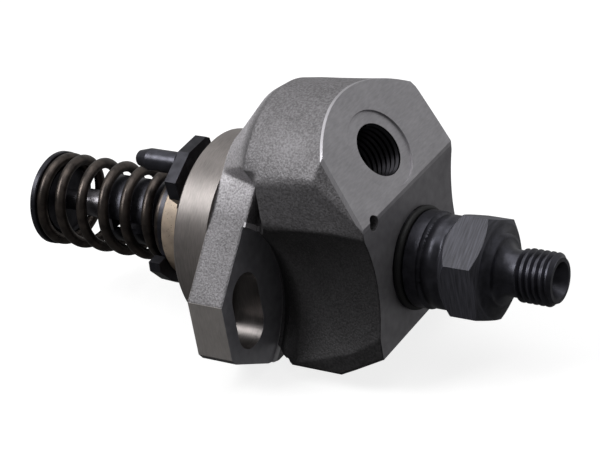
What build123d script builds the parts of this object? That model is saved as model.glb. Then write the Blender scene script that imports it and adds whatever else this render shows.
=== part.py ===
# Flange-mounted diesel injection pump: one plunger, one delivery valve.
# X runs along the pump axis towards the delivery union, Z points to the inlet side,
# and the origin is the spigot's axis at the flange's mounting face. Millimetres.
from build123d import *
import math
import os

os.makedirs("parts", exist_ok=True)

fit = 0.05          # radial clearance of guided and turning pieces
lap = 0.03          # radial clearance of the plunger and the valve in their bores

# flange and spigot
spigot_r, spigot_len = 22.7, 8.9
flange_t, flange_raw = 9.0, 9.5       # under the nuts, and as forged
ear_y, ear_top, ear_low = 31.2, 1.0, -14.2
shoulder_r = 11.2                     # round top of the flange between its 45 degree sides
flange_top, flange_foot = 26.2, -24.3
nut_face_y, nut_face_z, nut_face_r = 30.1, -5.7, 22.1
slot_y, slot_z, slot_r, slot_pitch = 22.0, -6.6, 5.2, 8.2

# upper body
end_x = 41.4
side_y, far_y, base_z = 20.5, 22.0, -20.4
rise_x, crest_x, dome_x = 12.5, 16.0, 34.0
inlet_deg, inlet_edge_z = 34.0, 18.32
inlet_up = 9.87                       # hole centre above the face's lower edge, along the face
inlet_r, inlet_depth, inlet_spot_r = 6.2, 13.0, 9.2
gallery_drill_r = 2.5
bevel_y = 19.7                        # inlet face's half width at its lower edge
foot_x, foot_end_z = 30.0, -14.5
nut_clear = [                         # station, radius, centre y and z of the nut clearance
    (flange_raw, 22.6, 31.2, -5.4), (10.9, 23.7, 33.6, -5.2), (13.0, 25.2, 37.0, -4.4),
    (18.0, 27.0, 41.3, -2.5), (end_x + 1, 34.0, 51.8, 3.4)]

# barrel, from the delivery side down
barrel_top, collar_x, collar_r = 26.0, 16.0, 10.4
stem_r, stem_end = 8.0, -3.0
neck_r, neck_end = 5.95, -26.5
plunger_r, port_x, port_r = 4.0 - lap, 12.5, 1.5
barrel_bore = plunger_r + lap
gallery_r, gallery_lo = stem_r + 1.2, 9.5
seal_groove, seal_wire = 1.2, 0.58
pin_x, pin_r = 21.0, 1.5

# control sleeve, bush and lever
sleeve_in, sleeve_out = neck_r + fit, 7.8
sleeve_lo, sleeve_hi = -41.0, -5.5
bush_out, bush_in, bush_lo, bush_hi = 13.1, 9.5, -19.0, -2.1
collar_lo, collar_hi = -11.9, -10.0
lever_lo, lever_t = -15.0, 3.0
control_deg = 40.0                    # from the stop towards full delivery
lever_pin_y, lever_pin_z, lever_pin_r, lever_pin_len = -5.5, 18.5, 2.6, 11.3
tenon_r = 1.5
vane_t, vane_span = 3.0, 15.0
ring_lo, ring_t = -7.6, 1.2

# spring end
plate_lo, plate_t, plate_r = -58.6, 1.5, 11.3
stroke = 10.0
rod_r, foot_r, foot_t = 3.3, 5.0, 1.1
foot_neck_r, foot_neck_len = 2.5, 9.5
wire_r, coil_r, spring_pitch = 1.28, 9.88, 6.3
washer_t, washer_r = 1.2, 12.6

# delivery valve and its holder
valve_seat_t, valve_seat_r, seat_top, seat_neck_r = 2.4, collar_r - 0.1, 33.0, 5.6
valve_bore, valve_lift = 3.0, 2.5
gasket_t = 1.4
holder_lo = barrel_top + valve_seat_t + gasket_t
thread_r = collar_r + 0.55            # M22 x 1.5 stem in the body
hollow_r, hollow_top = 6.3, 50.0
hex_af, hex_lo, hex_hi = 22.0, 51.6, 61.6
land_r, land_x = 8.2, 62.9
union_neck_r, union_r = 5.2, 6.0      # M12 x 1.5 union thread
union_lo, union_hi, tip_x = 67.2, 74.9, 75.9
passage_r, cone_r = 1.25, 4.1

cos_in, sin_in = math.cos(math.radians(inlet_deg)), math.sin(math.radians(inlet_deg))
inlet_x = end_x - inlet_up * sin_in
inlet_z = inlet_edge_z + inlet_up * cos_in
inlet_plane = Plane(origin=(inlet_x, 0, inlet_z), x_dir=(0, 1, 0), z_dir=(cos_in, 0, sin_in))


def profile(*points):
    """A closed half section in (x, radius), ready to be turned about X."""
    with BuildSketch(Plane.XZ) as half:
        with BuildLine():
            Polyline(*points, close=True)
        make_face()
    return half.sketch


def body_section(x, near, far, crest):
    """Cross section of the upper body. Each side is given from its foot up to where the
    round crest starts, as half widths with heights."""
    with BuildSketch(Plane.YZ.offset(x)) as cut:
        with BuildLine():
            Polyline(*[(y, z) for y, z in reversed(far)], (far[0][0], base_z),
                     (-near[0][0], base_z), *[(-y, z) for y, z in near])
            ThreePointArc((-near[-1][0], near[-1][1]), (0, crest), far[-1])
        make_face()
    return cut.sketch


def ring(x, r, wire):
    """A round sealing ring about the pump axis."""
    with BuildSketch(Plane.XZ) as hoop:
        with Locations((x, r)):
            Circle(wire)
    return hoop.sketch


def export(part, name):
    part.label = name
    export_step(part, f"parts/{name}.step")


# Housing: flange with two ears, spigot, and the body that carries inlet and outlet.
flange_c = flange_top - shoulder_r
tan_y = shoulder_r * math.sin(math.pi / 4)
tan_z = flange_c + tan_y
knee_y = tan_y + tan_z - ear_top
with BuildPart() as pump_housing:
    with BuildSketch(Plane.YZ):
        with BuildLine():
            ThreePointArc((-tan_y, tan_z), (0, flange_top), (tan_y, tan_z))
            Polyline((tan_y, tan_z), (knee_y, ear_top), (ear_y, ear_top - 1.4), (ear_y, ear_low),
                     (ear_y - 1.2, ear_low - 1.7), (18.4, -23.1), (15.0, flange_foot),
                     (-15.0, flange_foot), (-18.4, -23.1), (-ear_y + 1.2, ear_low - 1.7),
                     (-ear_y, ear_low), (-ear_y, ear_top - 1.4), (-knee_y, ear_top),
                     (-tan_y, tan_z))
        make_face()
    extrude(amount=flange_raw)
    root = ((18.0, 6.0), (11.0, 12.5), (9.8, 20.8), (9.3, 21.3))
    neck = ((18.0, 6.0), (11.4, 12.5), (11.5, 20.1), (15.5, 26.6))
    rise = ((18.6, 6.0), (15.5, 12.5), (15.7, 22.8), (18.6, 27.9))
    side = ((side_y, 6.0), (side_y, 12.5))
    end_side = ((side_y - 0.6, 6.0), (side_y - 0.6, 12.5))
    sections = [
        body_section(0, root, root, flange_top - 0.3),
        body_section(flange_raw, neck, neck, 36.8),
        body_section(rise_x, rise, rise, 38.5),
        body_section(crest_x, (*side, (side_y, 25.9), (side_y - 0.3, 26.6)),
                     (*side, (side_y, 26.5), (side_y - 0.2, 27.4)), 38.6),
        body_section(dome_x, (*side, (side_y, 28.3), (side_y - 0.4, 29.4)),
                     (*side, (far_y, 30.4), (far_y - 0.3, 31.9)), 38.5),
        body_section(end_x, (*end_side, (side_y - 0.4, 29.0), (side_y - 0.8, 30.0)),
                     (*end_side, (far_y - 0.2, 30.9), (far_y - 0.5, 32.3)), 38.5),
    ]
    for low, high in zip(sections, sections[1:]):
        loft([low, high], ruled=True)
    split(bisect_by=inlet_plane, keep=Keep.BOTTOM)
    foot = math.hypot(end_x - foot_x, foot_end_z - base_z)
    foot_n = ((foot_end_z - base_z) / foot, 0, (foot_x - end_x) / foot)
    split(bisect_by=Plane(origin=(end_x, 0, foot_end_z), z_dir=foot_n), keep=Keep.BOTTOM)
    # slanting edge between the near side wall and the inlet face
    split(bisect_by=Plane(origin=(end_x, -bevel_y, inlet_edge_z), z_dir=(0.595, -0.594, 0.542)),
          keep=Keep.BOTTOM)
    for side in (-1, 1):
        with BuildSketch(Plane.YZ.offset(flange_t)):
            with Locations((side * nut_face_y, nut_face_z)):
                Circle(nut_face_r)
        extrude(amount=flange_raw - flange_t, mode=Mode.SUBTRACT)
        for (xa, ra, ya, za), (xb, rb, yb, zb) in zip(nut_clear, nut_clear[1:]):
            with BuildSketch(Plane.YZ.offset(xa)) as near:
                with Locations((side * ya, za)):
                    Circle(ra)
            with BuildSketch(Plane.YZ.offset(xb)) as far:
                with Locations((side * yb, zb)):
                    Circle(rb)
            loft(ruled=True, mode=Mode.SUBTRACT)
    with BuildSketch(Plane.YZ):
        Circle(spigot_r)
    extrude(amount=-spigot_len)
    chamfer(edges().filter_by(GeomType.CIRCLE).sort_by(Axis.X)[0], 0.6)
    # stepped main bore, fuel gallery, bush bore with its ring groove
    revolve(profile(
        (-spigot_len - 1, 0), (-spigot_len - 1, bush_out + fit),
        (ring_lo - fit, bush_out + fit), (ring_lo - fit, bush_out + 1.0),
        (ring_lo + ring_t + fit, bush_out + 1.0), (ring_lo + ring_t + fit, bush_out + fit),
        (bush_hi + fit, bush_out + fit), (bush_hi + fit, stem_r + fit),
        (gallery_lo, stem_r + fit), (gallery_lo, gallery_r), (collar_x, gallery_r),
        (collar_x, collar_r + fit), (holder_lo - 0.6, collar_r + fit),
        (holder_lo - 0.6, thread_r + fit), (end_x - 0.55, thread_r + fit),
        (end_x, thread_r + fit + 0.55), (end_x + 1, thread_r + fit + 0.55), (end_x + 1, 0)),
        axis=Axis.X, mode=Mode.SUBTRACT)
    # inlet: spot face, threaded hole and the drilling into the gallery
    with BuildSketch(inlet_plane.offset(-0.5)):
        Circle(inlet_spot_r)
    extrude(amount=3, mode=Mode.SUBTRACT)
    with BuildSketch(inlet_plane.offset(1)):
        Circle(inlet_r)
    extrude(amount=-inlet_depth - 1, mode=Mode.SUBTRACT)
    with BuildSketch(inlet_plane):
        Circle(gallery_drill_r)
    extrude(amount=-31.5, mode=Mode.SUBTRACT)
    # adjusting slots in the ears
    with BuildSketch(Plane.YZ):
        with Locations((-slot_y, slot_z), (slot_y, slot_z)):
            SlotCenterToCenter(slot_pitch, 2 * slot_r, rotation=90)
    extrude(amount=flange_t, mode=Mode.SUBTRACT)
    # barrel locating pin from below, and the blind hole in the end face
    with BuildSketch(Plane.XY.offset(base_z - 1)):
        with Locations((pin_x, 0)):
            Circle(pin_r + fit)
    extrude(amount=-base_z, mode=Mode.SUBTRACT)
    with BuildSketch(Plane.YZ.offset(end_x - 5)):
        with Locations((-15.3, 17.4)):
            Circle(1.7)
    extrude(amount=6, mode=Mode.SUBTRACT)
export(pump_housing.part, "pump_housing")

# Barrel: collar seated in the body, ported stem, and the neck that guides the control sleeve.
with BuildPart() as plunger_barrel:
    revolve(profile(
        (neck_end, barrel_bore), (neck_end, neck_r - 0.5), (neck_end + 0.5, neck_r),
        (stem_end, neck_r), (stem_end, stem_r),
        (3.0, stem_r), (3.0, stem_r - seal_groove), (4.4, stem_r - seal_groove), (4.4, stem_r),
        (collar_x, stem_r), (collar_x, collar_r),
        (18.0, collar_r), (18.0, collar_r - seal_groove), (19.4, collar_r - seal_groove),
        (19.4, collar_r), (barrel_top, collar_r), (barrel_top, barrel_bore)), axis=Axis.X)
    with BuildSketch(Plane.XY.offset(-stem_r - 1)):
        with Locations((port_x, 0)):
            Circle(port_r)
    extrude(amount=2 * stem_r + 2, mode=Mode.SUBTRACT)
    with BuildSketch(Plane.XY.offset(-collar_r - 1)):
        with Locations((pin_x, 0)):
            SlotCenterToCenter(1.5, 2 * pin_r + 0.2)
    extrude(amount=3, mode=Mode.SUBTRACT)
export(plunger_barrel.part, "plunger_barrel")

with BuildPart() as barrel_pin:
    with BuildSketch(Plane.XY.offset(base_z + 0.6)):
        with Locations((pin_x, 0)):
            Circle(pin_r)
    extrude(amount=-base_z - collar_r + 0.7)
    chamfer(edges().filter_by(GeomType.CIRCLE), 0.3)
export(barrel_pin.part, "barrel_pin")

with BuildPart() as barrel_seals:
    revolve(ring(3.7, stem_r - 0.56, seal_wire), axis=Axis.X)
    revolve(ring(18.7, collar_r - 0.56, seal_wire), axis=Axis.X)
export(barrel_seals.part, "barrel_seals")

with BuildPart() as spill_deflector:
    revolve(profile(
        (gallery_lo + 0.1, stem_r + 0.6), (gallery_lo + 0.1, gallery_r - fit),
        (collar_x - 0.1, gallery_r - fit), (collar_x - 0.1, stem_r + 0.6)), axis=Axis.X)
export(spill_deflector.part, "spill_deflector")

# Plunger at bottom dead centre, with its metering helix, cross vane and foot.
crown_x = port_x - port_r - 1.0
rod_top = neck_end - 1.0
vane_t_x = 3.4
vane_lo = neck_end - 0.5 - stroke - vane_t_x
with BuildPart() as plunger:
    revolve(profile(
        (plate_lo, 0), (plate_lo, foot_r), (plate_lo + foot_t, foot_r),
        (plate_lo + foot_t, foot_neck_r), (plate_lo + foot_neck_len, foot_neck_r),
        (plate_lo + foot_neck_len, rod_r), (rod_top, rod_r), (rod_top + 1, plunger_r),
        (crown_x, plunger_r), (crown_x, 0)), axis=Axis.X)
    with BuildSketch(Plane.YZ.offset(vane_lo)):
        Rectangle(vane_span, vane_t)
    extrude(amount=vane_t_x)
    with BuildSketch(Plane.XY.offset(plunger_r - 1.1)):
        with BuildLine():
            Polyline((crown_x - 9, -5), (crown_x - 3, 5), (crown_x - 12, 5), (crown_x - 12, -5),
                     close=True)
        make_face()
    extrude(amount=3, mode=Mode.SUBTRACT)
    with BuildSketch(Plane.XY.offset(plunger_r - 1.1)):
        with Locations((crown_x - 3.5, 0)):
            Rectangle(9, 1.6)
    extrude(amount=3, mode=Mode.SUBTRACT)
export(plunger.part, "plunger")

# Lower spring plate with a recess for the plunger foot and a hub that centres the spring.
hub_r, hub_h = coil_r - wire_r - 0.3, 1.6
with BuildPart() as spring_plate:
    revolve(profile(
        (plate_lo, 0), (plate_lo, plate_r - 0.3), (plate_lo + 0.3, plate_r),
        (plate_lo + plate_t - 0.2, plate_r), (plate_lo + plate_t, plate_r - 0.2),
        (plate_lo + plate_t, hub_r), (plate_lo + plate_t + hub_h, hub_r - 0.4),
        (plate_lo + plate_t + hub_h, 0)), axis=Axis.X)
    with BuildSketch(Plane.YZ.offset(plate_lo)):
        Circle(foot_r + fit)
    extrude(amount=foot_t + fit, mode=Mode.SUBTRACT)
    with BuildSketch(Plane.YZ.offset(plate_lo)):
        Circle(foot_neck_r + fit)
    extrude(amount=plate_t + hub_h, mode=Mode.SUBTRACT)
export(spring_plate.part, "spring_plate")

# Upper spring washer with its hooked tab, seated on the bush.
spring_top = bush_lo - washer_t
with BuildPart() as spring_washer:
    revolve(profile((spring_top, sleeve_out + 0.4), (spring_top, washer_r), (bush_lo, washer_r),
                    (bush_lo, sleeve_out + 0.4)), axis=Axis.X)
    with BuildSketch(Plane.YZ.offset(spring_top - 1.8)):
        with BuildLine():
            Polyline((-15.3, -3.2), (-12.4, -3.0), (-10.2, -6.2), (-5.2, -11.0), (-7.4, -13.5),
                     (-12.1, -9.7), (-15.5, -5.5), close=True)
        make_face()
    extrude(amount=1.8 + washer_t)
    with BuildSketch(Plane.YZ.offset(spring_top - 1.9)):
        Circle(coil_r + wire_r + 0.4)
    extrude(amount=1.9, mode=Mode.SUBTRACT)
export(spring_washer.part, "spring_washer")

# Guide bush in the spigot, with the window that the control lever swings in.
with BuildPart() as guide_bush:
    revolve(profile(
        (bush_lo, sleeve_out + 0.4), (bush_lo, bush_out - 0.4), (bush_lo + 0.4, bush_out),
        (ring_lo - fit, bush_out), (ring_lo - fit, bush_out - 0.7),
        (ring_lo + ring_t + fit, bush_out - 0.7), (ring_lo + ring_t + fit, bush_out),
        (bush_hi, bush_out), (bush_hi, stem_r + fit), (bush_hi - 2.0, stem_r + fit),
        (bush_hi - 2.0, bush_in), (bush_lo + 2.0, bush_in), (bush_lo + 2.0, sleeve_out + 0.4)),
        axis=Axis.X)
    with BuildSketch(Plane.YZ.offset(lever_lo - 0.3)):
        with BuildLine():
            Polyline((0, 0), (-19.9, 18.5), (0, 30), (30, 30), (30, 5.5), close=True)
        make_face()
    extrude(amount=lever_t + 0.6, mode=Mode.SUBTRACT)
export(guide_bush.part, "guide_bush")

with BuildPart() as bush_ring:
    with BuildSketch(Plane.YZ.offset(ring_lo)):
        Circle(bush_out + 0.9)
        Circle(bush_out - 0.6, mode=Mode.SUBTRACT)
        with Locations((0, -bush_out)):
            Rectangle(5, 6, mode=Mode.SUBTRACT)
    extrude(amount=ring_t)
export(bush_ring.part, "bush_ring")

# Control sleeve: a tube round the barrel neck, slotted below for the plunger vane.
with BuildPart() as control_sleeve:
    revolve(profile(
        (sleeve_lo, sleeve_in), (sleeve_lo, sleeve_out), (collar_lo, sleeve_out),
        (collar_lo, bush_in - 0.1), (collar_hi, bush_in - 0.1), (collar_hi, sleeve_out),
        (sleeve_hi, sleeve_out), (sleeve_hi, sleeve_in)), axis=Axis.X)
    with BuildSketch(Plane.YZ.offset(sleeve_lo)):
        Rectangle(4 * sleeve_out, vane_t + 2 * fit)
    extrude(amount=vane_lo + stroke + 6 - sleeve_lo, mode=Mode.SUBTRACT)
export(control_sleeve.part, "control_sleeve")

with BuildPart() as control_lever:
    with BuildSketch(Plane.YZ.offset(lever_lo)):
        Circle(bush_in - 0.1)
        with BuildLine():
            Polyline((5.4, 7.4), (3.4, 20.9), (2.2, 21.8), (-5.0, 21.5), (-12.2, 17.5),
                     (-11.7, 12.7), (-6.6, 6.6), close=True)
        make_face()
        Circle(sleeve_out + 0.02, mode=Mode.SUBTRACT)
        with Locations((lever_pin_y, lever_pin_z)):
            Circle(tenon_r + 0.02, mode=Mode.SUBTRACT)
    extrude(amount=lever_t)
export(control_lever.part, "control_lever")

with BuildPart() as pin_on_axis:
    revolve(profile(
        (lever_lo - lever_pin_len, 0), (lever_lo - lever_pin_len, 1.4),
        (lever_lo - lever_pin_len + 0.4, 1.8), (lever_lo - 8.0, lever_pin_r),
        (lever_lo, lever_pin_r), (lever_lo, tenon_r), (lever_lo + lever_t, tenon_r),
        (lever_lo + lever_t, 0)), axis=Axis.X)
lever_pin = Pos(0, lever_pin_y, lever_pin_z) * pin_on_axis.part
export(lever_pin, "lever_pin")


def coil(x_lo, x_hi, wire, radius, pitch, dead, start_deg):
    """A compression spring. It lies flat for the given part of a turn at each end, and its
    wire is centred on the given radius."""
    lo, rise = x_lo + wire, x_hi - x_lo - 2 * wire
    turns = rise / pitch + 2 * dead
    blend = 0.15

    def reach(turn):
        if turn > turns / 2:
            return rise - reach(turns - turn)
        if turn < dead - blend:
            return 0
        if turn < dead + blend:
            return pitch * (turn - dead + blend) ** 2 / (4 * blend)
        return pitch * (turn - dead)

    count = round(turns * 12)
    points = []
    for i in range(count + 1):
        turn = turns * i / count
        angle = math.radians(start_deg) + 2 * math.pi * turn
        points.append((lo + reach(turn), radius * math.cos(angle), radius * math.sin(angle)))
    with BuildPart() as made:
        with BuildLine() as centre:
            Spline(*points)
        with BuildSketch(Plane(origin=points[0], z_dir=centre.line % 0)):
            Circle(wire)
        sweep()
    return made.part


plunger_spring = coil(plate_lo + plate_t, spring_top, wire_r, coil_r, spring_pitch, 0.53, 15.0)
export(plunger_spring, "plunger_spring")

# Delivery valve group between the barrel top and the holder.
with BuildPart() as valve_seat:
    revolve(profile(
        (barrel_top, valve_bore), (barrel_top, valve_seat_r),
        (barrel_top + valve_seat_t, valve_seat_r), (barrel_top + valve_seat_t, seat_neck_r),
        (seat_top, seat_neck_r), (seat_top, valve_bore + 0.8), (seat_top - 0.8, valve_bore)),
        axis=Axis.X)
export(valve_seat.part, "valve_seat")

with BuildPart() as valve_gasket:
    revolve(profile(
        (holder_lo - gasket_t, seat_neck_r + 0.3), (holder_lo - gasket_t, collar_r - 0.2),
        (holder_lo, collar_r - 0.2), (holder_lo, seat_neck_r + 0.3)), axis=Axis.X)
export(valve_gasket.part, "valve_gasket")

with BuildPart() as delivery_valve:
    revolve(profile(
        (barrel_top + 1.0, 0), (barrel_top + 1.0, valve_bore - lap),
        (seat_top - 1.0, valve_bore - lap), (seat_top - 0.9, valve_bore - 0.2),
        (seat_top + 0.1, valve_bore + 0.7), (seat_top + 1.6, valve_bore + 0.7),
        (seat_top + 1.6, 1.8), (seat_top + 3.2, 1.8), (seat_top + 3.2, 0)), axis=Axis.X)
    with BuildSketch(Plane.YZ.offset(barrel_top + 1.0)):
        for angle in (45, 135, 225, 315):
            with Locations((3.1 * math.cos(math.radians(angle)), 3.1 * math.sin(math.radians(angle)))):
                Circle(1.3)
    extrude(amount=seat_top - barrel_top - 3.4, mode=Mode.SUBTRACT)
export(delivery_valve.part, "delivery_valve")

filler_lo = hollow_top - 3.0
with BuildPart() as volume_reducer:
    revolve(profile(
        (seat_top + 3.2 + valve_lift, 0), (seat_top + 3.2 + valve_lift, 1.7), (filler_lo, 1.7),
        (filler_lo, hollow_r - fit), (hollow_top, hollow_r - fit), (hollow_top, 0)), axis=Axis.X)
    with BuildSketch(Plane.YZ.offset(filler_lo - 1)):
        with Locations((3.8, 0), (-3.8, 0), (0, 3.8), (0, -3.8)):
            Circle(1.0)
    extrude(amount=4, mode=Mode.SUBTRACT)
export(volume_reducer.part, "volume_reducer")

valve_spring = coil(seat_top + 1.6, filler_lo, 0.5, 2.7, 2.3, 0.7, 0.0)
export(valve_spring, "valve_spring")

with BuildPart() as valve_holder:
    revolve(profile(
        (holder_lo, hollow_r), (holder_lo, thread_r - 0.6), (holder_lo + 0.6, thread_r),
        (end_x - 0.2, thread_r), (end_x - 0.2, 10.0), (43.2, 10.0), (43.5, 10.9),
        (46.5, 10.9), (46.7, 10.0), (47.5, 10.0), (47.8, 10.5), (hex_lo - 0.9, 10.5),
        (hex_lo - 0.7, 10.2), (hex_lo, 10.2), (hex_hi, 10.2), (hex_hi, land_r), (land_x, land_r),
        (land_x + 0.2, 6.6), (land_x + 0.9, union_neck_r + 0.5), (land_x + 1.8, union_neck_r),
        (union_lo, union_neck_r), (union_lo + 0.6, union_r), (union_hi, union_r),
        (tip_x, union_r - 1.0), (tip_x, cone_r), (tip_x - 5.0, passage_r),
        (hollow_top + 1.0, passage_r), (hollow_top + 1.0, 3.2), (hollow_top, 4.8),
        (hollow_top, hollow_r)), axis=Axis.X)
    with BuildSketch(Plane.YZ.offset(hex_lo)):
        RegularPolygon(radius=hex_af / 2, side_count=6, major_radius=False, rotation=30)
        Circle(9.9, mode=Mode.SUBTRACT)
    extrude(amount=hex_hi - hex_lo)
    across = hex_af / math.cos(math.pi / 6) / 2
    rear, front = across - 10.2, (across - 10.4) * math.tan(math.pi / 6)
    revolve(profile((hex_lo, 10.2), (hex_lo, across + 2), (hex_lo + rear + 2, across + 2)),
            axis=Axis.X, mode=Mode.SUBTRACT)
    revolve(profile((hex_hi, 10.4), (hex_hi, across + 2 / math.tan(math.pi / 6) + 2),
                    (hex_hi - front - 2, across + 2 / math.tan(math.pi / 6))),
            axis=Axis.X, mode=Mode.SUBTRACT)
export(valve_holder.part, "valve_holder")

with BuildPart() as holder_ring:
    revolve(ring(end_x + 0.88, 10.92, 0.84), axis=Axis.X)
export(holder_ring.part, "holder_ring")
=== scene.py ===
import math
import bmesh
import bpy
from mathutils import Matrix, Vector


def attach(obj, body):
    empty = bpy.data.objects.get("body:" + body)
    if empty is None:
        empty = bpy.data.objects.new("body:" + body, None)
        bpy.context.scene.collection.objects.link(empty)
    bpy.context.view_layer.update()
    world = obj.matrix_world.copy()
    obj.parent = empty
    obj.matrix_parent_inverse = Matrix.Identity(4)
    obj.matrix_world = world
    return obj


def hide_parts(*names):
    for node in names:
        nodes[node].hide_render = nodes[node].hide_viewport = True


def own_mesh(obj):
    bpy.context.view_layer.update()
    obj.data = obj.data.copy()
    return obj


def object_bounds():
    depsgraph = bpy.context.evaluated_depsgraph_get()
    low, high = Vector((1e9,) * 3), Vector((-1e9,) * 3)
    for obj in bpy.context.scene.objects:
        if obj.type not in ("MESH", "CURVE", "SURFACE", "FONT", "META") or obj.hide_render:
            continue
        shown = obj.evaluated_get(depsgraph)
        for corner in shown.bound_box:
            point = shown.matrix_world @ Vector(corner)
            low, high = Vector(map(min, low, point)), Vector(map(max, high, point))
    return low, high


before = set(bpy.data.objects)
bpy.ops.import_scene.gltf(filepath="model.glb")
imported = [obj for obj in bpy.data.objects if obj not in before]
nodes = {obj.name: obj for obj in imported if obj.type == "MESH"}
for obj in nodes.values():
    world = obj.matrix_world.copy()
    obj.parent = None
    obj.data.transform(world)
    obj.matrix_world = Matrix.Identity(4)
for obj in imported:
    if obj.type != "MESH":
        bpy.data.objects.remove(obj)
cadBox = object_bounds()
mm = 0.001
weldDist = 0.002 * mm
# a Mix node set to colours takes them on sockets 6 and 7 and gives its result on 2
mixA, mixB, mixOut = 6, 7, 2
# the inlet's sealing face: where its hole comes out, in mm, and which way it looks
inletFace = {"spot": (35.8807, 0, 26.5025), "axis": (0.829038, 0, 0.559193)}


def hexColour(text):
    # sRGB hex to the linear values that Blender's sockets take
    parts = [int(text[i:i + 2], 16) / 255 for i in (1, 3, 5)]
    return tuple(c / 12.92 if c <= 0.04045 else ((c + 0.055) / 1.055) ** 2.4 for c in parts) + (1,)


def addNode(tree, kind, links=None, stops=(), **settings):
    # one node, with its settings, its socket values and what feeds it; stops fill a colour ramp
    node = tree.nodes.new(kind)
    for name, value in settings.items():
        setattr(node, name, value)
    for socket, value in (links or {}).items():
        if isinstance(value, bpy.types.NodeSocket):
            tree.links.new(value, node.inputs[socket])
        else:
            node.inputs[socket].default_value = value
    for i, (place, colour) in enumerate(stops):
        elements = node.color_ramp.elements
        element = elements[i] if i < len(elements) else elements.new(place)
        element.position = place
        element.color = colour
    return node


def startMaterial(name):
    # an empty node tree, with the spot on the piece in metres
    material = bpy.data.materials.new(name)
    material.use_nodes = True
    tree = material.node_tree
    tree.nodes.clear()
    return material, tree, addNode(tree, "ShaderNodeTexCoord").outputs["Object"]


def dress(thing, material, smoothDeg=None):
    thing.data.materials.clear()
    thing.data.materials.append(material)
    for face in thing.data.polygons:
        face.material_index = 0
    if smoothDeg is not None:
        thing.data.polygons.foreach_set("use_smooth", [True] * len(thing.data.polygons))
        thing.data.set_sharp_from_angle(angle=math.radians(smoothDeg))


def pieceFrom(bm, name, body, material, smoothDeg=35, replaces=()):
    bmesh.ops.recalc_face_normals(bm, faces=bm.faces)
    mesh = bpy.data.meshes.new(name)
    bm.to_mesh(mesh)
    bm.free()
    piece = bpy.data.objects.new(name, mesh)
    bpy.context.scene.collection.objects.link(piece)
    dress(piece, material, smoothDeg)
    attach(piece, body)
    if replaces:
        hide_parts(*replaces)
    return piece


def copyOfNode(nodeName):
    # a CAD node's mesh is loose triangles, so its copy is merged
    bm = bmesh.new()
    bm.from_mesh(nodes[nodeName].data)
    bmesh.ops.remove_doubles(bm, verts=bm.verts, dist=weldDist)
    return bm


def threadRidge(bm, look):
    # one helical ridge about Z, from startZ upwards; rootR is buried in what carries it
    rootHalf, crestHalf = look["pitch"] * 0.46, look["pitch"] * 0.07
    outline = [(look["rootR"], -rootHalf), (look["crestR"], -crestHalf),
               (look["crestR"], crestHalf), (look["rootR"], rootHalf)]
    verts = [bm.verts.new((r * mm, 0, (look["startZ"] + z) * mm)) for r, z in outline]
    edges = [bm.edges.new((verts[i - 1], verts[i])) for i in range(4)]
    turns = (look["endZ"] - look["startZ"]) / look["pitch"]
    steps = round(turns * look["facets"])
    bmesh.ops.spin(bm, geom=verts + edges, cent=(0, 0, 0), axis=(0, 0, 1), angle=2 * math.pi * turns,
                   steps=steps, dvec=(0, 0, turns * look["pitch"] * mm / steps), use_merge=False)
    bmesh.ops.holes_fill(bm, edges=[e for e in bm.edges if e.is_boundary], sides=4)


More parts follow.
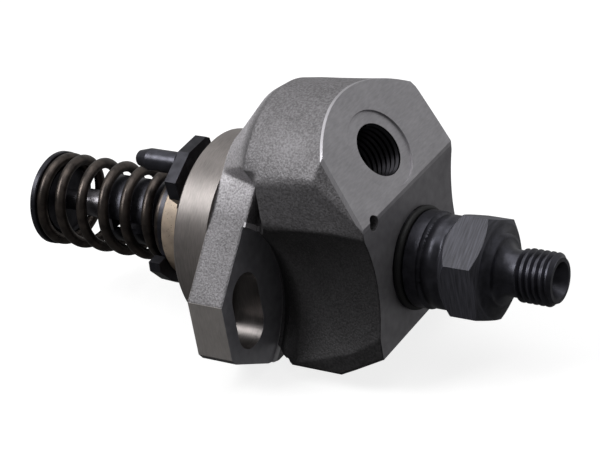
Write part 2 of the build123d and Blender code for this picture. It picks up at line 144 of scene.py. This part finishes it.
def forgedSteel():
    # shot-blasted steel forging: a matt, slightly sparkling dark grey skin with sand-like grain,
    # and brighter, smoother faces where it was turned, milled or ground; painted shade, painted light and a
    # painted highlight are laid on in places
    look = {
        "skin": ("#686668", "#918f92"), "skinRough": 0.56, "skinMetal": 0.5,
        # grain and cutter marks in mm; the cutter marks are drawn coarser than real, so they show
        "grain": 0.46, "grainDepth": 0.13, "drift": 6.0, "tool": (0.22, 1.98, 1.98), "toolDepth": 0.004,
        "forgedCorner": 1.1, "machinedCorner": 0.06, "cornerSamples": 6,
        # painted shade: behind the flange and below the ledge the skin's colour is scaled down to this,
        # standing in for the shade in the recess
        "recess": 0.3, "recessX": 11.0, "recessZ": (17.1, 15.5),
        # painted light: the skin on the flange's upper shoulders is lightened by up to this much more,
        # standing in for light that falls short there
        "paintedShoulderLight": 1.6, "shoulderX": (11.5, 8.5), "shoulderZ": (14.0, 21.0),
        "nutSpot": (30.1, -5.7, 0),
    }
    # a zone is what lies inside all its bands, in mm; where zones meet, the later one wins
    zones = {
        "turnedSpigot": {"colours": ("#7a7573", "#918b88"), "rough": 0.38, "metal": 0.5,
                         "bands": {"x": (-20, 0.05)}},
        "groundEar": {"colours": ("#9b9693", "#b0aba8"), "rough": 0.45, "metal": 0.2,
                      "bands": {"farY": (31.15, 40)}},
        "milledNutFace": {"colours": ("#8b8a90", "#a2a1a7"), "rough": 0.4, "metal": 0.15,
                          "bands": {"x": (8.95, 9.11), "fromNut": (-22.15, 22.15)}},
        # painted highlight: the narrow wall round the milled nut face is coloured near white, standing in for
        # the bright line of its highlight
        "nutWallPaintedHighlight": {"colours": ("#bcbabd", "#cfcdd0"), "rough": 0.4, "metal": 0.1,
                        "bands": {"x": (9.05, 10.75), "fromNut": (22.0, 23.2)}},
        "slotWall": {"colours": ("#6f6b6a", "#86817f"), "rough": 0.4, "metal": 0.9,
                     "bands": {"farY": (16.4, 27.6), "z": (-16.2, 3.0), "x": (0.06, 8.94)}},
        "groundEnd": {"colours": ("#8d8b8f", "#a3a1a5"), "rough": 0.5, "metal": 0.6,
                      "bands": {"x": (41.38, 60)}},
        "groundInlet": {"colours": ("#aaa8ac", "#bfbdc1"), "rough": 0.46, "metal": 0.7,
                        "bands": {"aboveInlet": (-0.55, 20)}},
        "inletBore": {"colours": ("#2c2b2e", "#3d3c40"), "rough": 0.3, "metal": 1.0,
                      "bands": {"fromInletAxis": (-6.35, 6.35), "aboveInlet": (-80, -0.56)}},
    }
    material, tree, spot = startMaterial("shotBlastedForgedSteel")

    # what the bands are measured in
    xyz = addNode(tree, "ShaderNodeSeparateXYZ", {0: spot}).outputs
    farY = addNode(tree, "ShaderNodeMath", {0: xyz["Y"]}, operation="ABSOLUTE").outputs[0]
    acrossFlange = addNode(tree, "ShaderNodeCombineXYZ", {"X": farY, "Y": xyz["Z"]})
    nutSpot = [v * mm for v in look["nutSpot"]]
    fromNut = addNode(tree, "ShaderNodeVectorMath", {0: acrossFlange.outputs[0], 1: nutSpot},
                      operation="DISTANCE")
    inletSpot = [v * mm for v in inletFace["spot"]]
    fromInlet = addNode(tree, "ShaderNodeVectorMath", {0: spot, 1: inletSpot}, operation="SUBTRACT")
    aboveInlet = addNode(tree, "ShaderNodeVectorMath", {0: fromInlet.outputs[0], 1: inletFace["axis"]},
                         operation="DOT_PRODUCT")
    aside = addNode(tree, "ShaderNodeVectorMath", {0: fromInlet.outputs[0], 1: inletFace["axis"]},
                    operation="CROSS_PRODUCT")
    fromInletAxis = addNode(tree, "ShaderNodeVectorMath", {0: aside.outputs[0]}, operation="LENGTH")
    measures = {"x": xyz["X"], "farY": farY, "z": xyz["Z"], "fromNut": fromNut.outputs["Value"],
                "aboveInlet": aboveInlet.outputs["Value"],
                "fromInletAxis": fromInletAxis.outputs["Value"]}

    # patterns
    grain = addNode(tree, "ShaderNodeTexNoise", {
        "Vector": spot, "Scale": 1 / (look["grain"] * mm), "Detail": 2.5}).outputs["Fac"]
    drift = addNode(tree, "ShaderNodeTexNoise", {
        "Vector": spot, "Scale": 1 / (look["drift"] * mm), "Detail": 3.0}).outputs["Fac"]
    toolSpot = addNode(tree, "ShaderNodeMapping", {
        "Vector": spot, "Scale": [1 / (size * mm) for size in look["tool"]]})
    tool = addNode(tree, "ShaderNodeTexNoise", {
        "Vector": toolSpot.outputs[0], "Scale": 1.0, "Detail": 4.0}).outputs["Fac"]

    # the forged skin, with painted shade darkening the recess and painted light lightening the shoulders
    skinMix = addNode(tree, "ShaderNodeMix", {"Factor": 0.25, "A": grain, "B": drift})
    skin = addNode(tree, "ShaderNodeValToRGB", {0: skinMix.outputs[0]}, stops=[
        (0.36, hexColour(look["skin"][0])), (0.64, hexColour(look["skin"][1]))])
    behindFlange = addNode(tree, "ShaderNodeMath", {0: xyz["X"], 1: look["recessX"] * mm},
                           operation="GREATER_THAN")
    recessShade = addNode(tree, "ShaderNodeMath", {
        0: behindFlange.outputs[0], 1: look["recess"] - 1, 2: 1.0}, operation="MULTIPLY_ADD")
    recess = addNode(tree, "ShaderNodeMapRange", {
        "Value": xyz["Z"], "From Min": look["recessZ"][0] * mm, "From Max": look["recessZ"][1] * mm,
        "To Min": 1.0, "To Max": recessShade.outputs[0]})
    shoulderX = addNode(tree, "ShaderNodeMapRange", {
        "Value": xyz["X"], "From Min": look["shoulderX"][0] * mm,
        "From Max": look["shoulderX"][1] * mm, "To Max": look["paintedShoulderLight"]})
    paintedShoulderLight = addNode(tree, "ShaderNodeMapRange", {
        "Value": xyz["Z"], "From Min": look["shoulderZ"][0] * mm,
        "From Max": look["shoulderZ"][1] * mm, "To Max": shoulderX.outputs[0]})
    shade = addNode(tree, "ShaderNodeMath", {0: recess.outputs[0], 1: paintedShoulderLight.outputs[0]}, operation="ADD")
    colour = addNode(tree, "ShaderNodeMix", {
        "Factor": 1.0, mixA: skin.outputs["Color"], mixB: shade.outputs[0]},
        data_type="RGBA", blend_type="MULTIPLY").outputs[mixOut]

    # the machined faces laid over it, the wall round the nut face with a painted highlight
    toolMix = addNode(tree, "ShaderNodeMix", {"Factor": 0.45, "A": tool, "B": drift})
    rough, metal, machined = look["skinRough"], look["skinMetal"], 0.0
    for zone in zones.values():
        mask = 1.0
        for measure, (low, high) in zone["bands"].items():
            band = addNode(tree, "ShaderNodeMath", {
                0: measures[measure], 1: (low + high) / 2 * mm, 2: (high - low) / 2 * mm},
                operation="COMPARE")
            mask = addNode(tree, "ShaderNodeMath", {0: band.outputs[0], 1: mask},
                           operation="MULTIPLY").outputs[0]
        zoneColour = addNode(tree, "ShaderNodeValToRGB", {0: toolMix.outputs[0]}, stops=[
            (0.35, hexColour(zone["colours"][0])), (0.65, hexColour(zone["colours"][1]))])
        colour = addNode(tree, "ShaderNodeMix", {
            "Factor": mask, mixA: colour, mixB: zoneColour.outputs["Color"]},
            data_type="RGBA").outputs[mixOut]
        rough = addNode(tree, "ShaderNodeMix", {"Factor": mask, "A": rough, "B": zone["rough"]}).outputs[0]
        metal = addNode(tree, "ShaderNodeMix", {"Factor": mask, "A": metal, "B": zone["metal"]}).outputs[0]
        machined = addNode(tree, "ShaderNodeMath", {0: mask, 1: machined}, operation="MAXIMUM").outputs[0]

    # forged corners are rounded by about a millimetre, machined ones only broken
    corner = addNode(tree, "ShaderNodeMapRange", {
        "Value": machined, "To Min": look["forgedCorner"] * mm, "To Max": look["machinedCorner"] * mm})
    rounded = addNode(tree, "ShaderNodeBevel", {"Radius": corner.outputs[0]},
                      samples=look["cornerSamples"])
    forged = addNode(tree, "ShaderNodeMath", {0: 1.0, 1: machined}, operation="SUBTRACT")
    grainBump = addNode(tree, "ShaderNodeBump", {
        "Height": grain, "Distance": look["grainDepth"] * mm, "Strength": forged.outputs[0],
        "Normal": rounded.outputs[0]})
    toolBump = addNode(tree, "ShaderNodeBump", {
        "Height": tool, "Distance": look["toolDepth"] * mm, "Strength": machined,
        "Normal": grainBump.outputs[0]})
    shader = addNode(tree, "ShaderNodeBsdfPrincipled", {
        "Base Color": colour, "Roughness": rough, "Metallic": metal, "Normal": toolBump.outputs[0]})
    addNode(tree, "ShaderNodeOutputMaterial", {"Surface": shader.outputs[0]})
    return material


def turnedSteel(name, changes):
    # a turned steel part: slow colour drift, and fine rings left by the tool round the X axis;
    # drift and rings give the pattern's size along X, Y and Z in mm, depth the rings' in mm
    look = {"metal": 1.0, "drift": (2.5, 2.5, 2.5), "rings": (0.25, 5, 5), "depth": 0.006, **changes}
    material, tree, spot = startMaterial(name)
    patterns = {}
    for pattern, detail in {"drift": 4.0, "rings": 2.0}.items():
        drawn = addNode(tree, "ShaderNodeMapping", {
            "Vector": spot, "Scale": [1 / (size * mm) for size in look[pattern]]})
        patterns[pattern] = addNode(tree, "ShaderNodeTexNoise", {
            "Vector": drawn.outputs[0], "Scale": 1.0, "Detail": detail}).outputs["Fac"]
    colour = addNode(tree, "ShaderNodeValToRGB", {0: patterns["drift"]}, stops=[
        (0.35, hexColour(look["dark"])), (0.65, hexColour(look["light"]))])
    relief = addNode(tree, "ShaderNodeBump", {"Height": patterns["rings"], "Distance": look["depth"] * mm})
    shader = addNode(tree, "ShaderNodeBsdfPrincipled", {
        "Base Color": colour.outputs["Color"], "Roughness": look["rough"], "Metallic": look["metal"],
        "Normal": relief.outputs[0]})
    addNode(tree, "ShaderNodeOutputMaterial", {"Surface": shader.outputs[0]})
    return material


def sinteredBronze():
    # oil-soaked sintered bronze: dull tan, with dark open pores just under a millimetre apart
    look = {"colours": ("#a8998b", "#c9b7a3"), "drift": 3.0, "pores": 0.8, "poreShade": 0.35,
            "rough": 0.5, "metal": 0.4}
    material, tree, spot = startMaterial("sinteredBronze")
    drift = addNode(tree, "ShaderNodeTexNoise", {
        "Vector": spot, "Scale": 1 / (look["drift"] * mm), "Detail": 3.0})
    base = addNode(tree, "ShaderNodeValToRGB", {0: drift.outputs["Fac"]}, stops=[
        (0.3, hexColour(look["colours"][0])), (0.7, hexColour(look["colours"][1]))])
    pores = addNode(tree, "ShaderNodeTexVoronoi", {"Vector": spot, "Scale": 1 / (look["pores"] * mm)})
    shade = addNode(tree, "ShaderNodeValToRGB", {0: pores.outputs["Distance"]}, stops=[
        (0.08, (look["poreShade"],) * 3 + (1,)), (0.2, (1, 1, 1, 1))])
    colour = addNode(tree, "ShaderNodeMix", {
        "Factor": 1.0, mixA: base.outputs["Color"], mixB: shade.outputs["Color"]},
        data_type="RGBA", blend_type="MULTIPLY")
    shader = addNode(tree, "ShaderNodeBsdfPrincipled", {
        "Base Color": colour.outputs[mixOut], "Roughness": look["rough"], "Metallic": look["metal"]})
    addNode(tree, "ShaderNodeOutputMaterial", {"Surface": shader.outputs[0]})
    return material


materials = {
    "forgedSteel": forgedSteel(),
    # bright ground steel, with a soft mirror and hair-fine rings
    "groundSteel": turnedSteel("groundSteel", {"dark": "#77757a", "light": "#918f93", "rough": 0.3}),
    # chemically blackened steel under a film of oil: near black, with clean highlights
    "blackOxide": turnedSteel("blackOxideSteel", {
        "dark": "#3c3c42", "light": "#505058", "rough": 0.35, "metal": 0.8}),
    # the hexagon is milled across its flats, so it is greyer and shows the cutter's strokes
    "hexSteel": turnedSteel("milledBlackenedHexagon", {
        "dark": "#3c3c42", "light": "#56565f", "rough": 0.5, "metal": 0.3,
        "drift": (0.4, 5.6, 5.6), "rings": (0.4, 4.8, 4.8), "depth": 0.03}),
    # blackened sheet, pressed and not turned: even near-black with a dull sheen
    "stampedSteel": turnedSteel("blackenedStampedSteel", {
        "dark": "#323237", "light": "#45454b", "rough": 0.36, "metal": 0.8, "rings": (0.25, 0.25, 0.25)}),
    # hard-drawn spring wire, oiled: dark brown-black, smooth
    "springSteel": turnedSteel("oiledSpringWire", {
        "dark": "#3b3634", "light": "#5e5651", "rough": 0.36, "metal": 0.85,
        "rings": (0.25, 0.25, 0.25), "depth": 0.003}),
    # soft annealed copper: warm brown-red, slightly dulled
    "copper": turnedSteel("annealedCopper", {"dark": "#8f5538", "light": "#b0704c", "rough": 0.42}),
    # moulded seal rubber: deep matt black
    "rubber": turnedSteel("sealRubber", {"dark": "#0d0d0e", "light": "#171718", "rough": 0.55, "metal": 0.0}),
    "bronze": sinteredBronze(),
}

nodeLooks = {
    "pump_housing": "forgedSteel", "plunger_barrel": "groundSteel", "barrel_pin": "groundSteel",
    "barrel_seals": "rubber", "spill_deflector": "groundSteel", "plunger": "groundSteel",
    "spring_plate": "stampedSteel", "plunger_spring": "springSteel", "spring_washer": "stampedSteel",
    "guide_bush": "bronze", "bush_ring": "springSteel", "control_sleeve": "blackOxide",
    "control_lever": "stampedSteel", "lever_pin": "blackOxide", "valve_seat": "groundSteel",
    "valve_gasket": "copper", "delivery_valve": "groundSteel", "valve_spring": "springSteel",
    "volume_reducer": "groundSteel", "valve_holder": "blackOxide", "holder_ring": "rubber",
}
for nodeName, look in nodeLooks.items():
    dress(nodes[nodeName], materials[look])
print("materials on the CAD nodes")

# the valve holder: its union's outside goes down to the root of the thread, its hexagon is milled
holderLook = {"unionX": 67.1, "coreR": 5.2, "hexX": (51.5, 61.7), "hexFromR": 10.25, "chamferSlope": 0.2}
bm = copyOfNode("valve_holder")
for vert in bm.verts:
    radius = math.hypot(vert.co.y, vert.co.z)
    if vert.co.x > holderLook["unionX"] * mm and radius > holderLook["coreR"] * mm:
        vert.co.yz = vert.co.yz * (holderLook["coreR"] * mm / radius)
holder = pieceFrom(bm, "valveHolder", "housing", materials["blackOxide"], smoothDeg=22,
                   replaces=("valve_holder",))
holder.data.materials.append(materials["hexSteel"])
for face in holder.data.polygons:
    # the flats stay flat, and the chamfers at their ends are turned
    centre = face.center / mm
    onHexagon = holderLook["hexX"][0] < centre.x < holderLook["hexX"][1]
    if onHexagon and math.hypot(centre.y, centre.z) > holderLook["hexFromR"]:
        face.material_index = 1
        face.use_smooth = abs(face.normal.x) > holderLook["chamferSlope"]
print("valve holder turned down")

# the union's thread, which fades in behind and runs off over the chamfer in front
unionLook = {"pitch": 1.5, "rootR": 5.0, "crestR": 5.98, "startZ": 67.2, "endZ": 75.6, "facets": 64,
             "fadeX": 67.0, "fadeR": 5.25, "fadeSlope": 0.9, "outerR": 6.0, "chamferX": 74.9, "tipX": 75.88}
bm = bmesh.new()
threadRidge(bm, unionLook)
turnZtoX = Matrix(((0, 0, 1), (1, 0, 0), (0, 1, 0))).to_4x4()
bmesh.ops.transform(bm, verts=bm.verts, matrix=turnZtoX)
for vert in bm.verts:
    radius = math.hypot(vert.co.y, vert.co.z)
    x = vert.co.x / mm
    fadeIn = unionLook["fadeR"] + (x - unionLook["fadeX"]) * unionLook["fadeSlope"]
    runOff = unionLook["outerR"] - (x - unionLook["chamferX"])
    limit = max(min(unionLook["outerR"], fadeIn, runOff), unionLook["rootR"]) * mm
    if radius > limit:
        vert.co.yz = vert.co.yz * (limit / radius)
    vert.co.x = min(vert.co.x, unionLook["tipX"] * mm)
pieceFrom(bm, "unionThread", "housing", materials["blackOxide"], smoothDeg=40)
print("union thread cut")

# springs, copied from their CAD nodes onto meshes of their own; the joints that shorten them are listed with
# each
springLooks = {
    "plungerSpring": {"node": "plunger_spring", "joint": "plunger_stroke", "fixedX": -20.2,
                      "length": 36.9, "travel": 10.0},
    "valveSpring": {"node": "valve_spring", "joint": "valve_lift", "fixedX": 47.0,
                    "length": 12.4, "travel": 2.4},
}
for name, look in springLooks.items():
    spring = pieceFrom(copyOfNode(look["node"]), name, "housing",
                       materials["springSteel"], replaces=(look["node"],))
    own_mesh(spring)

# the inlet's thread, whose ridges stand inside the bore
inletLook = {"pitch": 1.5, "rootR": 6.3, "crestR": 5.72, "startZ": -12.0, "endZ": -1.2, "facets": 64}
bm = bmesh.new()
threadRidge(bm, inletLook)
bmesh.ops.transform(bm, verts=bm.verts, matrix=(
    Matrix.Translation(Vector(inletFace["spot"]) * mm)
    @ Vector(inletFace["axis"]).to_track_quat("Z", "Y").to_matrix().to_4x4()))
pieceFrom(bm, "inletThread", "housing", materials["forgedSteel"], smoothDeg=40)
print("inlet thread cut")

# a pale sheet lit from behind, so that shadows on it stay faint
floorLook = {"size": 6.0, "gap": 0.2, "colour": "#9c9c9c", "glow": 0.82, "rough": 0.95}
bm = bmesh.new()
bmesh.ops.create_grid(bm, x_segments=1, y_segments=1, size=floorLook["size"])
bmesh.ops.translate(bm, verts=bm.verts, vec=(0, 0, cadBox[0][2] - floorLook["gap"] * mm))
floorMesh = bpy.data.meshes.new("floor")
bm.to_mesh(floorMesh)
bm.free()
floor = bpy.data.objects.new("floor", floorMesh)
bpy.context.scene.collection.objects.link(floor)
floorMaterial, tree, spot = startMaterial("paleFloor")
shader = addNode(tree, "ShaderNodeBsdfPrincipled", {
    "Base Color": hexColour(floorLook["colour"]), "Roughness": floorLook["rough"],
    "Emission Color": (1, 1, 1, 1), "Emission Strength": floorLook["glow"]})
addNode(tree, "ShaderNodeOutputMaterial", {"Surface": shader.outputs[0]})
floor.data.materials.append(floorMaterial)
floor.visible_diffuse = False
floor.visible_glossy = False

# a light tent: bright overhead and behind, open and dark towards the camera's side
worldLook = {"bright": (0.1, 0.75, 0.65), "greys": [(0.0, 0.08), (0.3, 0.2), (0.8, 0.45)]}
world = bpy.data.worlds.new("studio")
bpy.context.scene.world = world
world.use_nodes = True
tree = world.node_tree
tree.nodes.clear()
sky = addNode(tree, "ShaderNodeTexCoord")
towards = addNode(tree, "ShaderNodeVectorMath", {0: sky.outputs["Generated"], 1: worldLook["bright"]},
                  operation="DOT_PRODUCT")
glow = addNode(tree, "ShaderNodeValToRGB", {0: towards.outputs["Value"]}, stops=[
    (place, (grey, grey, grey, 1)) for place, grey in worldLook["greys"]])
tent = addNode(tree, "ShaderNodeBackground", {"Color": glow.outputs["Color"], "Strength": 1.0})
addNode(tree, "ShaderNodeOutputWorld", {"Surface": tent.outputs[0]})

# softboxes, with places and sizes in metres and power in watts
lights = {
    "overheadSoftbox": {"spot": (0.0, 0.12, 0.7), "aim": (0.0, 0, 0), "size": (0.9, 0.6), "power": 2.0},
    "leftSoftbox": {"spot": (-0.42, -0.34, 0.62), "aim": (0.0, 0, 0), "size": (0.34, 0.4), "power": 3.6},
}
for name, look in lights.items():
    lamp = bpy.data.lights.new(name, "AREA")
    lamp.shape = "RECTANGLE"
    lamp.size, lamp.size_y = look["size"]
    lamp.energy = look["power"]
    softbox = bpy.data.objects.new(name, lamp)
    bpy.context.scene.collection.objects.link(softbox)
    softbox.location = look["spot"]
    softbox.rotation_euler = (Vector(look["aim"]) - Vector(look["spot"])).to_track_quat("-Z", "Y").to_euler()

cameraLook = {"spot": (269.47, -357.46, 251.46), "right": (0.8486, 0.5060, -0.1542),
              "up": (-0.1393, 0.4948, 0.8577), "lens": 133.99, "sensor": 36, "nearest": 0.01}
right = Vector(cameraLook["right"]).normalized()
back = right.cross(Vector(cameraLook["up"])).normalized()
up = back.cross(right).normalized()
camera = bpy.data.objects.new("camera", bpy.data.cameras.new("camera"))
bpy.context.scene.collection.objects.link(camera)
camera.matrix_world = (Matrix.Translation(Vector(cameraLook["spot"]) * mm)
                       @ Matrix((right, up, back)).transposed().to_4x4())
camera.data.lens = cameraLook["lens"]
camera.data.sensor_width = cameraLook["sensor"]
camera.data.clip_start = cameraLook["nearest"]
bpy.context.scene.camera = camera
bpy.context.scene.view_settings.view_transform = "Standard"
print("floor, light and camera set")
